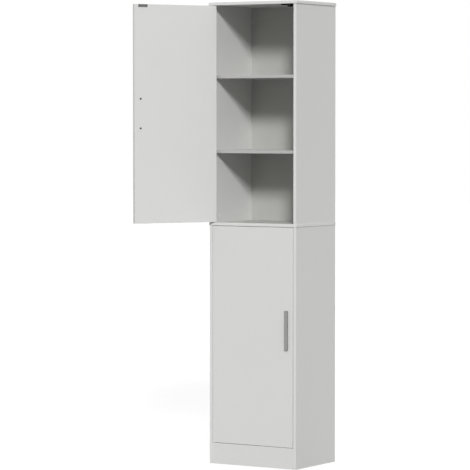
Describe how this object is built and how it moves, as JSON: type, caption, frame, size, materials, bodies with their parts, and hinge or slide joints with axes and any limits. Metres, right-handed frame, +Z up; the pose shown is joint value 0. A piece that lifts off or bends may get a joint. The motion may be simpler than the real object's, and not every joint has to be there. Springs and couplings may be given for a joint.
{
  "type": "tall bathroom cabinet",
  "caption": "Tall, narrow free-standing bathroom cabinet with inset doors one above the other on left-hand pivots, bar handles, magnetic catches, pin-held shelves and a plinth.",
  "frame": {"origin": "middle of the plinth's underside, on the floor", "axes": "+Z up, +X to the right seen from the front, -Y out of the front; the lower door is closed and the upper door stands open"},
  "size_m": [0.5429, 0.6193, 1.8],
  "materials": {
    "board": "matte light grey laminate on particle board",
    "back_panel": "matte light grey hardboard",
    "handle": "matte grey",
    "bush": "matte white",
    "dowel": "bare beech",
    "cam_cover": "matte light grey",
    "catch_housing": "satin black",
    "magnet": "matte dark grey ferrite",
    "strike_steel": "dull dark grey steel",
    "zinc_steel": "zinc plated"
  },
  "bodies": {
    "carcass": {"back_rail": "board", "board_plate_screws": "zinc_steel", "bottom_board": "board", "catch_magnets": "magnet", "catch_poles": "strike_steel", "catch_screws": "zinc_steel", "divider_board": "board", "lower_back_panel": "back_panel", "lower_cam_bolts": "zinc_steel", "lower_cam_covers": "cam_cover", "lower_cam_locks": "zinc_steel", "lower_catch_body": "catch_housing", "lower_door_bottom_board_plate": "zinc_steel", "lower_door_bottom_bush": "bush", "lower_door_top_board_plate": "zinc_steel", "lower_door_top_bush": "bush", "lower_dowels": "dowel", "lower_left_side": "board", "lower_right_side": "board", "lower_shelf_high": "board", "lower_shelf_low": "board", "lower_shelf_pins": "zinc_steel", "plinth": "board", "top_board": "board", "upper_back_panel": "back_panel", "upper_cam_bolts": "zinc_steel", "upper_cam_covers": "cam_cover", "upper_cam_locks": "zinc_steel", "upper_catch_body": "catch_housing", "upper_door_bottom_board_plate": "zinc_steel", "upper_door_bottom_bush": "bush", "upper_door_top_board_plate": "zinc_steel", "upper_door_top_bush": "bush", "upper_dowels": "dowel", "upper_left_side": "board", "upper_right_side": "board", "upper_shelf_high": "board", "upper_shelf_low": "board", "upper_shelf_pins": "zinc_steel"},
    "lower_door": {"lower_door": "board", "lower_door_bottom_door_plate": "zinc_steel", "lower_door_plate_screws": "zinc_steel", "lower_door_top_door_plate": "zinc_steel", "lower_handle": "handle", "lower_handle_screws": "zinc_steel", "lower_strike_plate": "strike_steel", "lower_strike_screws": "zinc_steel"},
    "upper_door": {"upper_door": "board", "upper_door_bottom_door_plate": "zinc_steel", "upper_door_plate_screws": "zinc_steel", "upper_door_top_door_plate": "zinc_steel", "upper_handle": "handle", "upper_handle_screws": "zinc_steel", "upper_strike_plate": "strike_steel", "upper_strike_screws": "zinc_steel"}
  },
  "joints": [
    {"name": "lower_door_hinge", "type": "hinge", "parent": "carcass", "child": "lower_door", "pos_m": [-0.177, -0.002, 0.507], "axis": [0, 0, -1], "range_deg": [0, 118]},
    {"name": "upper_door_hinge", "type": "hinge", "parent": "carcass", "child": "upper_door", "pos_m": [-0.177, -0.002, 1.36625], "axis": [0, 0, -1], "range_deg": [-117, 1]}
  ]
}
